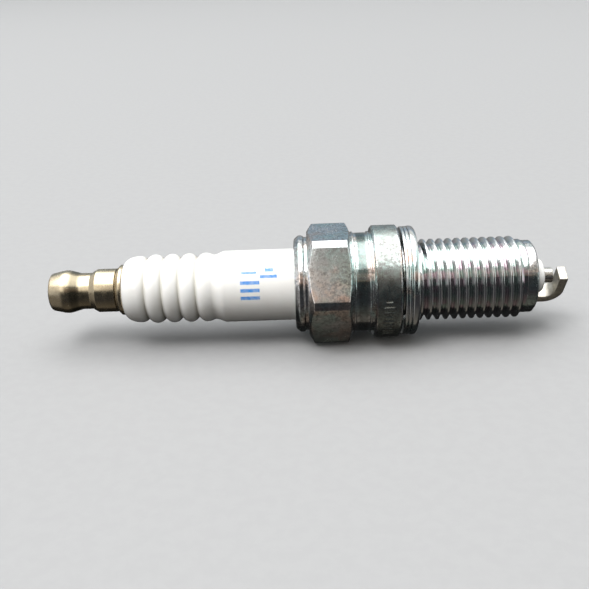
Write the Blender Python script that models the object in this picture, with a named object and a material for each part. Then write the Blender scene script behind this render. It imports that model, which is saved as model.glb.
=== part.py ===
"""Spark plug with an M12 x 1.25 thread, 19 mm reach and a 16 mm hexagon.

The plug lies on its collar, with one flat of its hexagon facing down. Its
axis runs along X, with the firing end at +X. Sizes below are in millimetres,
and positions along the axis are measured from the seat, which is where the
shell meets its gasket.
"""
import math

import bmesh
import bpy
from mathutils import Matrix, Vector

MM = 0.001

# Driving dimensions.
ACROSS_FLATS = 15.73
TERMINAL_END = -50.6
REACH = 19.0
OVERALL_END = 24.55
COLLAR_RADIUS = 8.15
THREAD_MAJOR_RADIUS = 5.92
THREAD_PITCH = 1.25
BARREL_RADIUS = 5.22
STUD_RADIUS = 1.98
STUD_PITCH = 0.7

# The seat's place in the world, so that the plug is centred over the origin.
SEAT_X = -(TERMINAL_END + OVERALL_END) / 2
AXIS_HEIGHT = COLLAR_RADIUS

# How finely round pieces are divided. Outer pieces have a vertex at every
# hexagon corner, and the small inner pieces are coarser.
SEGMENTS = 36
INNER_SEGMENTS = 24
SMOOTH_ANGLE = math.radians(35)
MERGE_DISTANCE = 1e-7

# A thread's form: flank angle, crest width as a share of the pitch, and the
# turns over which its ridge rises at one end and dies away at the other.
THREAD_FLANK = math.radians(30)
CREST_SHARE = 0.125
RISE_TURNS = 0.6
FADE_TURNS = 0.8

# Insulator: five domed ribs, formed by four grooves and one shallow run-out.
INSULATOR_END = -39.7
RIB_RADIUS = 5.12
GROOVE_FIRST = -36.4
GROOVE_SPACING = 2.44
GROOVE_DEPTH = 0.62
GROOVE_COUNT = 4
RUN_OUT_DEPTH = 0.45
RUN_OUT_END = -24.9
FIRST_CREST = GROOVE_FIRST - GROOVE_SPACING / 2
END_ROUNDING = 1.3
INSULATOR_BORE = 2.0
NOSE_BORE = 1.2
BODY_RADIUS = 4.1
NOSE_END = 20.7

# Shell.
CRIMP_RADIUS = 7.0
CORNER_RADIUS = 8.76
HEX_START = -13.1
HEX_END = -6.95
HEX_CHAMFER = 0.55
GROOVE_RADIUS = 7.2
COLLAR_START = -3.9
COLLAR_CHAMFER = 0.25
SHELL_BORE = 6.25
FIRING_BORE = 3.95
PILOT_RADIUS = 5.15
THREAD_START = 2.9
THREAD_END = 18.45

# The cone on which the insulator sits inside the shell.
SEAT_CONE_START = 5.0
SEAT_CONE_SLOPE = 0.6
SEAT_PACKING = 0.4
SLIP = 0.05

# Ground electrode: a flat strap that leaves the shell's end at STRAP_ANGLE
# about the axis and bends over the centre electrode.
STRAP_WIDTH = 2.4
STRAP_THICKNESS = 1.25
STRAP_ROOT_RADIUS = 4.5
STRAP_BEND = 2.05
STRAP_PAST_AXIS = 0.45
STRAP_ANGLE = math.radians(-59)
SPARK_GAP = 0.9
CENTRE_TIP = OVERALL_END - STRAP_THICKNESS - SPARK_GAP


def clear_scene():
    """Remove everything the file opened with."""
    for obj in list(bpy.data.objects):
        bpy.data.objects.remove(obj)


def material(name, colour, roughness, metallic):
    """A plain Principled material."""
    made = bpy.data.materials.new(name)
    made.use_nodes = True
    shader = made.node_tree.nodes["Principled BSDF"]
    shader.inputs["Base Color"].default_value = (*colour, 1.0)
    shader.inputs["Roughness"].default_value = roughness
    shader.inputs["Metallic"].default_value = metallic
    return made


def arc(centre_x, centre_r, radius, start, end, steps):
    """Points on an arc in the (x, r) plane; angles in degrees from +x."""
    points = []
    for step in range(steps + 1):
        angle = math.radians(start + (end - start) * step / steps)
        points.append((centre_x + radius * math.cos(angle), centre_r + radius * math.sin(angle)))
    return points


def spin_outline(mesh, outline, closed, segments):
    """Spin (x, r) points about the X axis. A closed outline makes a ring, and
    an open one either ends on the axis or leaves a ring of open edges."""
    verts = [mesh.verts.new((x * MM, r * MM, 0)) for x, r in outline]
    edges = [mesh.edges.new(pair) for pair in zip(verts, verts[1:])]
    if closed:
        edges.append(mesh.edges.new((verts[-1], verts[0])))
    bmesh.ops.spin(mesh, geom=verts + edges, cent=(0, 0, 0), axis=(1, 0, 0),
                   angle=math.tau, steps=segments, use_merge=False)
    bmesh.ops.remove_doubles(mesh, verts=mesh.verts, dist=MERGE_DISTANCE)


def add_thread(mesh, left, right, root, crest, pitch, phase, segments):
    """A right-handed thread between two rings of radius root at left and
    right. Phase is the x of a crest's middle at angle zero. The ridge rises
    out of the root after the left ring, and its last turn is plain root."""
    flank = (crest - root) * math.tan(THREAD_FLANK)
    flat = pitch * CREST_SHARE
    profile = [(flank, 1.0), (flank + flat, 1.0), (2 * flank + flat, 0.0)]
    first = phase - flat / 2 - flank
    first += pitch * (math.floor((left - first) / pitch) + 1)
    steps = int((right - first) / pitch * segments) - segments - 2

    def vertex(x, radius, step):
        angle = math.tau * step / segments
        return mesh.verts.new((x * MM, radius * math.cos(angle) * MM, radius * math.sin(angle) * MM))

    def helix(offset, height, count):
        row = []
        for step in range(count):
            rise = min(1.0, step / (RISE_TURNS * segments), (steps - step) / (FADE_TURNS * segments))
            radius = root + (crest - root) * height * max(0.0, rise)
            row.append(vertex(first + offset + pitch * step / segments, radius, step))
        return row

    # The ridge's left edge runs a turn further, as the right edge of the root.
    edge = helix(0.0, 0.0, steps + segments + 1)
    rows = [edge[:steps + 1]]
    rows += [helix(offset, height, steps + 1) for offset, height in profile]
    rows.append(edge[segments:])
    for lower, upper in zip(rows, rows[1:]):
        for step in range(steps):
            mesh.faces.new((lower[step], lower[step + 1], upper[step + 1], upper[step]))

    start_ring = [vertex(left, root, step) for step in range(segments)]
    for step in range(segments - 1):
        mesh.faces.new((start_ring[step], start_ring[step + 1], edge[step + 1], edge[step]))
    fan(mesh, edge[segments - 1], [start_ring[0]] + [row[0] for row in rows])
    mesh.faces.new((start_ring[-1], start_ring[0], edge[segments - 1]))

    end_ring = [vertex(right, root, step) for step in range(segments)]
    for step in range(1, segments):
        near = end_ring[(steps + step) % segments]
        far = end_ring[(steps + step + 1) % segments]
        mesh.faces.new((edge[steps + step], edge[steps + step + 1], far, near))
    fan(mesh, edge[steps + 1], [row[steps] for row in rows] + [end_ring[steps % segments]])
    mesh.faces.new((edge[steps + 1], end_ring[(steps + 1) % segments], end_ring[steps % segments]))
    bmesh.ops.remove_doubles(mesh, verts=mesh.verts, dist=MERGE_DISTANCE)


def fan(mesh, corner, chain):
    """Triangles from one corner to each stretch of a chain of vertices."""
    for near, far in zip(chain, chain[1:]):
        mesh.faces.new((corner, near, far))


def finish_object(name, mesh, look, parent):
    """Turn a bmesh into a named, smooth-shaded object on the plug's axis."""
    bmesh.ops.recalc_face_normals(mesh, faces=mesh.faces)
    data = bpy.data.meshes.new(name)
    mesh.to_mesh(data)
    mesh.free()
    data.shade_smooth()
    data.set_sharp_from_angle(angle=SMOOTH_ANGLE)
    data.materials.append(look)
    obj = bpy.data.objects.new(name, data)
    bpy.context.collection.objects.link(obj)
    obj.parent = parent
    return obj


def turned(name, outline, look, parent, closed=True, segments=SEGMENTS):
    """A turned piece from its (x, r) outline."""
    mesh = bmesh.new()
    spin_outline(mesh, outline, closed, segments)
    return finish_object(name, mesh, look, parent)


def seat_cone(radius):
    """Where the insulator's shoulder cone is at a radius."""
    return SEAT_CONE_START + SEAT_CONE_SLOPE * (BODY_RADIUS - radius)


def groove_fall(distance, depth):
    """How far the domes on either side of a groove have fallen at a distance
    from its middle. Each dome is an arc, highest half a spacing away."""
    half = GROOVE_SPACING / 2
    dome = (half ** 2 + depth ** 2) / (2 * depth)
    reach = max(0.0, half - abs(distance))
    return dome - math.sqrt(dome ** 2 - reach ** 2)


def insulator_radius(x):
    """Outer radius of the ribbed stretch of the insulator."""
    radius = RIB_RADIUS
    if x < FIRST_CREST:
        slope = 0.97 * (FIRST_CREST - x) / (FIRST_CREST - INSULATOR_END)
        return radius - END_ROUNDING * (1 - math.sqrt(1 - slope ** 2))
    for index in range(GROOVE_COUNT):
        radius -= groove_fall(x - (GROOVE_FIRST + GROOVE_SPACING * index), GROOVE_DEPTH)
    run_out = GROOVE_FIRST + GROOVE_SPACING * GROOVE_COUNT
    if x <= run_out:
        return radius - groove_fall(x - run_out, RUN_OUT_DEPTH)
    climb = min(1.0, (x - run_out) / (RUN_OUT_END - run_out))
    bottom = RIB_RADIUS - RUN_OUT_DEPTH
    return bottom + (BARREL_RADIUS - bottom) * math.sin(climb * math.pi / 2) ** 2


def terminal_nut(look, axis):
    """The bulb, its neck and the skirt that covers the stud's thread."""
    neck, skirt, bore, mouth = 2.65, 3.17, 2.08, -40.9
    outline = [
        (TERMINAL_END, 0), (TERMINAL_END, 2.25), (TERMINAL_END + 0.15, 2.6), (-50.0, 2.86),
        (-49.4, 3.0), (-48.6, 3.13), (-48.0, 3.15), (-47.4, 3.08), (-46.8, 2.88), (-46.0, neck),
        (-44.6, neck), (-43.7, skirt), (mouth, skirt), (mouth, 2.35), (mouth - 0.25, bore),
        (-48.1, bore), (-48.9, 0),
    ]
    return turned("terminal_nut", outline, look, axis, closed=False)


def terminal_stud(look, axis):
    """Threaded end, flange and the shank that runs down the insulator."""
    shank, flange = 1.9, 3.68
    flange_left, flange_right = -40.8, -39.8
    thread_left, thread_right = -47.6, -41.4
    root = STUD_RADIUS - 0.6 * STUD_PITCH
    tail = [
        (thread_right, root), (-41.3, 1.75), (flange_left, 1.75), (flange_left, 3.2),
        (flange_left + 0.45, flange), (flange_right, flange), (flange_right, shank), (-12.85, shank),
        (-12.55, 1.6), (-12.55, 0),
    ]
    mesh = bmesh.new()
    spin_outline(mesh, [(-47.9, 0), (-47.9, 1.2), (thread_left, root)], False, INNER_SEGMENTS)
    spin_outline(mesh, tail, False, INNER_SEGMENTS)
    add_thread(mesh, thread_left, thread_right, root, STUD_RADIUS, STUD_PITCH, 0.0, INNER_SEGMENTS)
    return finish_object("terminal_stud", mesh, look, axis)


def insulator(look, axis):
    """Ribbed outer body, flange inside the shell, shoulder and nose."""
    per_groove = 6
    step_length = GROOVE_SPACING / per_groove
    steps = round((RUN_OUT_END - FIRST_CREST) / step_length)
    end_stretch = FIRST_CREST - INSULATOR_END
    outline = [(INSULATOR_END, INSULATOR_BORE)]
    for share in (0.0, 0.06, 0.25, 0.5, 0.75):
        x = INSULATOR_END + end_stretch * share
        outline.append((x, insulator_radius(x)))
    for step in range(steps + 1):
        x = FIRST_CREST + step_length * step
        outline.append((x, insulator_radius(x)))
    outline += [
        (-8.0, BARREL_RADIUS), (-7.2, 6.1), (-2.0, 6.1), (-0.6, BODY_RADIUS),
        (SEAT_CONE_START, BODY_RADIUS), (seat_cone(3.1), 3.1), (7.6, 2.95), (REACH, 2.5),
        (19.8, 2.25), (20.3, 1.9), (NOSE_END, 1.45), (NOSE_END, NOSE_BORE), (-0.45, NOSE_BORE),
        (-0.9, INSULATOR_BORE),
    ]
    return turned("insulator", outline, look, axis)


def inner_stack(looks, axis):
    """Glass, resistor and glass, between the stud and the centre electrode."""
    radius = 1.93
    spans = {
        "upper_glass_seal": (-12.5, -10.05),
        "resistor": (-10.0, -4.65),
        "lower_glass_seal": (-4.6, -2.1),
    }
    for name, (start, end) in spans.items():
        outline = [(start, 0), (start, radius), (end, radius), (end, 0)]
        turned(name, outline, looks[name], axis, closed=False, segments=INNER_SEGMENTS)


def centre_electrode(nickel, copper, axis):
    """Nickel rod with a head, and the copper core pressed into it."""
    rod, head, hole, core = 1.1, 1.85, 0.6, 0.55
    head_face, hole_end = -2.05, 18.1
    outline = [
        (hole_end, 0), (hole_end, hole), (head_face, hole), (head_face, head), (-1.05, head),
        (-0.6, rod), (CENTRE_TIP - 0.12, rod), (CENTRE_TIP, rod - 0.12), (CENTRE_TIP, 0),
    ]
    turned("centre_electrode", outline, nickel, axis, closed=False, segments=INNER_SEGMENTS)
    outline = [(head_face + 0.1, 0), (head_face + 0.1, core), (hole_end - 0.1, core), (hole_end - 0.1, 0)]
    turned("electrode_copper_core", outline, copper, axis, closed=False, segments=INNER_SEGMENTS)


def metal_shell(look, axis):
    """Crimped lip, hexagon, groove, collar, thread and pilot in one piece."""
    thread_root = THREAD_MAJOR_RADIUS - 0.6 * THREAD_PITCH
    face = ACROSS_FLATS / 2 - 0.2
    ledge = 2 * SLIP + SEAT_PACKING
    outline = [
        (THREAD_END, thread_root), (THREAD_END + 0.15, PILOT_RADIUS), (REACH - 0.3, PILOT_RADIUS),
        (REACH, PILOT_RADIUS - 0.25), (REACH, FIRING_BORE), (7.7, FIRING_BORE), (7.1, 3.35),
        (seat_cone(3.35) + ledge, 3.35), (seat_cone(4.25) + ledge, 4.25), (-0.4, 4.25),
        (-1.8, SHELL_BORE), (-14.0, SHELL_BORE), (-14.3, 5.4), (-14.6, 5.32), (-14.9, 5.45),
        (-15.0, 5.8), (-14.9, 6.25), (-14.6, 6.65), (-14.2, 6.9), (-13.7, CRIMP_RADIUS),
        (HEX_START - 0.1, CRIMP_RADIUS), (HEX_START, CRIMP_RADIUS + 0.1), (HEX_START, face),
        (HEX_START + HEX_CHAMFER, CORNER_RADIUS), (HEX_END - HEX_CHAMFER, CORNER_RADIUS),
        (HEX_END, face), (HEX_END, GROOVE_RADIUS + 0.15), (HEX_END + 0.15, GROOVE_RADIUS),
        (COLLAR_START - 0.15, GROOVE_RADIUS), (COLLAR_START, GROOVE_RADIUS + 0.15),
        (COLLAR_START, COLLAR_RADIUS - COLLAR_CHAMFER), (COLLAR_START + COLLAR_CHAMFER, COLLAR_RADIUS),
        (-COLLAR_CHAMFER, COLLAR_RADIUS), (0, COLLAR_RADIUS - COLLAR_CHAMFER), (0, thread_root),
        (THREAD_START, thread_root),
    ]
    crest_at_angle_zero = 0.93
    mesh = bmesh.new()
    spin_outline(mesh, outline, False, SEGMENTS)
    add_thread(mesh, THREAD_START, THREAD_END, thread_root, THREAD_MAJOR_RADIUS, THREAD_PITCH,
               crest_at_angle_zero, SEGMENTS)
    shell = finish_object("metal_shell", mesh, look, axis)

    # A six-sided ring whose hollow is the hexagon trims the round blank.
    inside = ACROSS_FLATS / 2 / math.cos(math.pi / 6)
    outside = 2 * inside
    left, right = HEX_START - SLIP, HEX_END + SLIP
    ring = [(left, inside), (left, outside), (right, outside), (right, inside)]
    cutter = turned("hexagon_cutter", ring, look, axis, segments=6)
    cutter.hide_render = True
    cutter.display_type = "WIRE"
    trim = shell.modifiers.new("hexagon", "BOOLEAN")
    trim.operation = "DIFFERENCE"
    trim.object = cutter
    return shell


def packing(looks, axis):
    """Wire rings and talc under the crimped lip, and the washer on the ledge."""
    middle = (BARREL_RADIUS + SHELL_BORE) / 2
    wire = 0.42
    for name, centre in (("upper_packing_ring", -13.5), ("lower_packing_ring", -8.5)):
        outline = arc(centre, middle, wire, 0, 360, 8)[:-1]
        turned(name, outline, looks[name], axis, segments=SEGMENTS)
    inner, outer = BARREL_RADIUS + 0.1, SHELL_BORE - 0.1
    outline = [(-13.03, inner), (-13.03, outer), (-8.97, outer), (-8.97, inner)]
    turned("talc_filling", outline, looks["talc_filling"], axis, segments=SEGMENTS)
    inner, outer = 3.45, 4.1
    outline = [
        (seat_cone(inner) + SLIP, inner), (seat_cone(outer) + SLIP, outer),
        (seat_cone(outer) + SLIP + SEAT_PACKING, outer), (seat_cone(inner) + SLIP + SEAT_PACKING, inner),
    ]
    turned("seat_packing", outline, looks["seat_packing"], axis, segments=SEGMENTS)


def gasket(look, axis):
    """Crush washer: two thin folds toward the seat and one full fold."""
    inner, outer = 5.65, 7.95
    outline = [(0.3, inner + 0.1)]
    for start, end in ((0.3, 0.74), (0.78, 1.26)):
        middle, half = (start + end) / 2, (end - start) / 2
        outline += arc(middle, outer - half, half, 180, 0, 3)
        outline.append((end + 0.02, outer - 2.2 * half))
    outline += arc(1.87, outer - 0.57, 0.57, 180, -10, 5)
    outline += [(2.42, 7.0), (2.42, 6.1), (2.2, inner + 0.1), (1.9, inner), (0.6, inner)]
    return turned("gasket", outline, look, axis)


def ground_electrode(look, axis):
    """A flat bar extruded along its bent path."""
    middle_x = OVERALL_END - STRAP_THICKNESS / 2
    root = Vector((REACH + SLIP, STRAP_ROOT_RADIUS))
    bend = arc(middle_x - STRAP_BEND, STRAP_ROOT_RADIUS - STRAP_BEND, STRAP_BEND, 90, 0, 8)
    path = [root] + [Vector(point) for point in bend] + [Vector((middle_x, -STRAP_PAST_AXIS))]
    turn = Matrix.Rotation(STRAP_ANGLE, 4, "X")
    mesh = bmesh.new()
    sections = []
    for index, point in enumerate(path):
        ahead = path[min(index + 1, len(path) - 1)] - path[max(index - 1, 0)]
        if index == 0:
            ahead = Vector((1, 0))
        if index == len(path) - 1:
            ahead = Vector((0, -1))
        across = Vector((-ahead.y, ahead.x)).normalized() * STRAP_THICKNESS / 2
        corners = []
        for side, face in ((-1, -1), (1, -1), (1, 1), (-1, 1)):
            place = point + across * face
            corner = turn @ Vector((place.x, place.y, side * STRAP_WIDTH / 2))
            corners.append(mesh.verts.new(corner * MM))
        sections.append(corners)
    for near, far in zip(sections, sections[1:]):
        for index in range(4):
            following = (index + 1) % 4
            mesh.faces.new((near[index], near[following], far[following], far[index]))
    mesh.faces.new(sections[0])
    mesh.faces.new(sections[-1])
    return finish_object("ground_electrode", mesh, look, axis)


def build():
    """Make every piece and hang it on the plug's axis."""
    clear_scene()
    axis = bpy.data.objects.new("plug_axis", None)
    axis.location = (SEAT_X * MM, 0, AXIS_HEIGHT * MM)
    bpy.context.collection.objects.link(axis)

    bronze = material("bronze_nickel", (0.34, 0.27, 0.19), 0.3, 1.0)
    plating = material("bright_plating", (0.78, 0.8, 0.8), 0.2, 1.0)
    nickel = material("nickel_alloy", (0.66, 0.63, 0.58), 0.32, 1.0)
    copper = material("copper", (0.72, 0.4, 0.26), 0.35, 1.0)
    steel = material("soft_steel", (0.5, 0.5, 0.5), 0.4, 1.0)
    porcelain = material("glazed_alumina", (0.88, 0.87, 0.84), 0.15, 0.0)
    glass = material("conductive_glass", (0.22, 0.14, 0.1), 0.35, 0.0)
    carbon = material("resistor_mix", (0.06, 0.06, 0.06), 0.7, 0.0)
    talc = material("talc", (0.8, 0.8, 0.77), 0.9, 0.0)

    terminal_nut(bronze, axis)
    terminal_stud(bronze, axis)
    insulator(porcelain, axis)
    inner_stack({"upper_glass_seal": glass, "resistor": carbon, "lower_glass_seal": glass}, axis)
    centre_electrode(nickel, copper, axis)
    metal_shell(plating, axis)
    packing({
        "upper_packing_ring": steel, "lower_packing_ring": steel,
        "talc_filling": talc, "seat_packing": steel,
    }, axis)
    gasket(plating, axis)
    ground_electrode(nickel, axis)


build()
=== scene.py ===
import math

import bmesh
import bpy
import numpy as np
from mathutils import Matrix, Vector


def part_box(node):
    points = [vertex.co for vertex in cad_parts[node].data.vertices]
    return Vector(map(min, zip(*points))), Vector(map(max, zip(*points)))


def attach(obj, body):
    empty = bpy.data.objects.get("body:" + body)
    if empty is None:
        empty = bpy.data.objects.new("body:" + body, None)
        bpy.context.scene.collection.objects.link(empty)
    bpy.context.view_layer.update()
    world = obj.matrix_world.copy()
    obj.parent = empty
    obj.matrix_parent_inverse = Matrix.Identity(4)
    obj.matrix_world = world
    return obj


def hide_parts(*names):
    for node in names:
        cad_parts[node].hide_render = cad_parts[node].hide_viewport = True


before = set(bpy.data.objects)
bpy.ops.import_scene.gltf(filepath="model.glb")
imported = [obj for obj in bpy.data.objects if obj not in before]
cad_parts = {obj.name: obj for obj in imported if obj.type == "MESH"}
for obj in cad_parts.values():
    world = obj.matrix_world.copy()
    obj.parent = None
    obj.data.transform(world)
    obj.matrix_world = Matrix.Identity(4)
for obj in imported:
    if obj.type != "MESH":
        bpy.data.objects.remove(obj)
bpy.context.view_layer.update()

MM = 0.001

# The plug's axis. Every outline below is in millimetres: x along the axis from the seat, toward the
# firing end, and r out from the axis.
SHELL_LOW, SHELL_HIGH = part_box("metal_shell")
REACH = 19.0
SEAT_X = SHELL_HIGH.x - REACH * MM
AXIS_Z = (SHELL_LOW.z + SHELL_HIGH.z) / 2
AXIS = Matrix.Translation((SEAT_X, 0, AXIS_Z))

ACROSS_FLATS = 15.73
CORNER_RADIUS = 8.76
COLLAR_RADIUS = (SHELL_HIGH.z - SHELL_LOW.z) / 2 / MM
PILOT_RADIUS = 5.24
BARREL_RADIUS = 5.22
FIRING_FACE = REACH + 0.25

THREAD_PITCH = 1.25
THREAD_CREST = 5.9
THREAD_ROOT = 5.2
# How far round the axis the thread starts, in turns, and how far along it a crest crosses angle zero.
THREAD_STARTS_AT = 0.25
CREST_AT_ZERO = 0.93
# A thread's flank angle, then its flat crest and its roundings as shares of the pitch, then how many
# turns it takes to rise and to fade.
FLANK_ANGLE = math.radians(30)
CREST_FLAT = 0.2
CREST_ROUNDING = 0.07
ROOT_ROUNDING = 0.105
RISE_TURNS = 0.2
FADE_TURNS = 0.9


# ---------------------------------------------------------------- outlines

def rounded(points, steps=5, closed=False):
    """A polyline of (x, r) or (x, r, fillet) corners with its fillets as arcs."""
    outline = []
    count = len(points)
    for index, point in enumerate(points):
        here = Vector(point[:2])
        fillet = point[2] if len(point) > 2 else 0.0
        inner = closed or 0 < index < count - 1
        if not fillet or not inner:
            outline.append((here.x, here.y))
            continue
        before = Vector(points[index - 1][:2]) - here
        after = Vector(points[(index + 1) % count][:2]) - here
        turn = before.angle(after)
        reach = min(fillet / math.tan(turn / 2), 0.49 * before.length, 0.49 * after.length)
        radius = reach * math.tan(turn / 2)
        start = here + before.normalized() * reach
        end = here + after.normalized() * reach
        halfway = (before.normalized() + after.normalized()).normalized()
        centre = here + halfway * radius / math.sin(turn / 2)
        first, last = start - centre, end - centre
        sweep = first.angle_signed(last) if first.length > 1e-9 and last.length > 1e-9 else 0.0
        for step in range(steps + 1):
            turned_by = Matrix.Rotation(-sweep * step / steps, 2)
            spot = centre + turned_by @ first
            outline.append((spot.x, spot.y))
    return outline


def even_angles(count):
    return [math.tau * index / count for index in range(count)]


def groove_fall(x, middle, depth, bottom):
    """How far the domes beside a groove have fallen at x. Each dome is an
    arc, highest half a rib away, and bottom rounds the groove's own floor."""
    half = RIB_SPACING / 2
    dome = (half ** 2 + depth ** 2) / (2 * depth)
    reach = max(0.0, half - math.hypot(x - middle, bottom))
    return dome - math.sqrt(dome ** 2 - reach ** 2)


# ------------------------------------------------------------------ meshes

def new_object(name, verts, faces, sharp=50):
    """A smooth-shaded mesh object whose origin is the seat's centre."""
    data = bpy.data.meshes.new(name)
    data.from_pydata([tuple(v) for v in verts], [], faces)
    mesh = bmesh.new()
    mesh.from_mesh(data)
    bmesh.ops.remove_doubles(mesh, verts=mesh.verts, dist=1e-8)
    bmesh.ops.recalc_face_normals(mesh, faces=mesh.faces)
    mesh.to_mesh(data)
    mesh.free()
    data.shade_smooth()
    data.set_sharp_from_angle(angle=math.radians(sharp))
    obj = bpy.data.objects.new(name, data)
    bpy.context.collection.objects.link(obj)
    obj.matrix_world = AXIS
    return obj


def around(angles, outlines, closed):
    """Vertices and faces of a surface whose outline is outlines[i] at angles[i]."""
    outlines = np.asarray(outlines, float)
    turn = np.asarray(angles, float)[:, None]
    x, r = outlines[..., 0], outlines[..., 1]
    verts = np.stack([x, r * np.cos(turn), r * np.sin(turn)], axis=-1).reshape(-1, 3) * MM
    columns, rows = x.shape
    faces = []
    for column in range(columns):
        here, there = column * rows, (column + 1) % columns * rows
        for row in range(rows if closed else rows - 1):
            after = (row + 1) % rows
            faces.append((here + row, here + after, there + after, there + row))
    return verts, faces


def turned(name, outline, count, closed=False):
    """A piece with the same outline all round."""
    verts, faces = around(even_angles(count), [outline] * count, closed)
    return new_object(name, verts, faces)


def point_at(x, r, angle):
    """A point in metres, from its place along, out from and round the axis."""
    return [x * MM, r * math.cos(angle) * MM, r * math.sin(angle) * MM]


def thread_sleeve(name, left, right, root, crest, bore, pitch, phase, per_turn, start_turn=0.0):
    """A right-handed thread as a closed sleeve. Its ridge grows out of the
    root at start_turn, quickly, and dies away slowly at the right."""
    half_crest = pitch * CREST_FLAT / 2
    half_foot = half_crest + (crest - root) * math.tan(FLANK_ANGLE)
    crest_arc, root_arc = pitch * CREST_ROUNDING, pitch * ROOT_ROUNDING
    profile = rounded([
        (-pitch / 2, root), (-half_foot, root, root_arc), (-half_crest, crest, crest_arc),
        (half_crest, crest, crest_arc), (half_foot, root, root_arc), (pitch / 2, root),
    ], steps=4)[:-1]
    first = phase - pitch / 2 + pitch * start_turn
    first += pitch * (math.floor((left - first) / pitch) + 1)
    steps = int((right - first) / pitch * per_turn) - per_turn - 2
    rows = len(profile)
    verts, faces = [], []

    def corner(row, step):
        """Index of a helix point; past the last row it is the next turn's first."""
        return (row % rows) * (steps + per_turn + 1) + step + (row // rows) * per_turn

    def ring(x, r):
        """Add a plain circle of vertices and give their indices."""
        start = len(verts)
        for angle in even_angles(per_turn):
            verts.append(point_at(x, r, angle + math.tau * start_turn))
        return range(start, start + per_turn)

    for x, r in profile:
        for step in range(steps + per_turn + 1):
            rise = min(1.0, step / (RISE_TURNS * per_turn), (steps - step) / (FADE_TURNS * per_turn))
            rise = max(0.0, rise)
            rise = rise * rise * (3 - 2 * rise)
            along = first + pitch / 2 + x + pitch * step / per_turn
            angle = math.tau * (step / per_turn + start_turn)
            verts.append(point_at(along, root + (r - root) * rise, angle))
    for row in range(rows):
        for step in range(steps):
            faces.append((corner(row, step), corner(row, step + 1),
                          corner(row + 1, step + 1), corner(row + 1, step)))

    # The bore and the plain left end, all but the first turn's own edge.
    outer_left, inner_left = ring(left, root), ring(left, bore)
    outer_right, inner_right = ring(right, root), ring(right, bore)
    for index in range(per_turn):
        after = (index + 1) % per_turn
        faces.append((outer_left[index], outer_left[after], inner_left[after], inner_left[index]))
        faces.append((inner_left[index], inner_left[after], inner_right[after], inner_right[index]))
        faces.append((inner_right[index], inner_right[after], outer_right[after], outer_right[index]))
        if after:
            faces.append((outer_left[index], outer_left[after], corner(0, after), corner(0, index)))
    # What is left of that end, round the ridge's first section.
    seam = [outer_left[0]] + [corner(row, 0) for row in range(rows + 1)]
    faces += [(corner(0, per_turn - 1), near, far) for near, far in zip(seam, seam[1:])]
    faces.append((outer_left[-1], outer_left[0], corner(0, per_turn - 1)))
    # The right end, then what is left of it round the ridge's last section.
    for index in range(1, per_turn):
        near = outer_right[(steps + index) % per_turn]
        far = outer_right[(steps + index + 1) % per_turn]
        faces.append((corner(0, steps + index), corner(0, steps + index + 1), far, near))
    seam = [corner(row, steps) for row in range(rows + 1)] + [outer_right[steps % per_turn]]
    faces += [(corner(0, steps + 1), near, far) for near, far in zip(seam, seam[1:])]
    faces.append((corner(0, steps + 1), outer_right[(steps + 1) % per_turn], seam[-1]))
    used = sorted({index for face in faces for index in face})
    place = {old: new for new, old in enumerate(used)}
    faces = [tuple(place[index] for index in face) for face in faces]
    return new_object(name, [verts[index] for index in used], faces)


# --------------------------------------------------------------- materials

class Nodes:
    """A node tree, built node by node."""

    def __init__(self, tree):
        self.tree = tree

    def add(self, kind, **settings):
        node = self.tree.nodes.new(kind)
        for key, value in settings.items():
            setattr(node, key, value)
        return node

    def wire(self, source, target):
        self.tree.links.new(source, target)

    def feed(self, target, value):
        """Link a socket, or set a number or a colour."""
        if isinstance(value, bpy.types.NodeSocket):
            self.wire(value, target)
        else:
            target.default_value = (*value, 1.0) if isinstance(value, tuple) else value

    def math(self, operation, first, second=0.0, third=0.0, clamp=False):
        node = self.add("ShaderNodeMath", operation=operation, use_clamp=clamp)
        for socket, value in zip(node.inputs, (first, second, third)):
            self.feed(socket, value)
        return node.outputs[0]

    def times(self, first, second, clamp=False):
        return self.math("MULTIPLY", first, second, clamp=clamp)

    def ramp(self, value, low, high, to_low=0.0, to_high=1.0):
        """A smooth step from to_low to to_high."""
        node = self.add("ShaderNodeMapRange", interpolation_type="SMOOTHSTEP")
        for socket, number in zip(node.inputs, (value, low, high, to_low, to_high)):
            self.feed(socket, number)
        return node.outputs[0]

    def band(self, value, low, high, soft):
        """1 between low and high, fading over soft at both edges."""
        rising = self.ramp(value, low - soft, low + soft)
        falling = self.ramp(value, high - soft, high + soft, 1.0, 0.0)
        return self.times(rising, falling)

    def mix(self, factor, first, second):
        """Blend two colours, each a tuple or a socket."""
        node = self.add("ShaderNodeMix", data_type="RGBA")
        for index, value in ((0, factor), (6, first), (7, second)):
            self.feed(node.inputs[index], value)
        return node.outputs[2]


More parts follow.
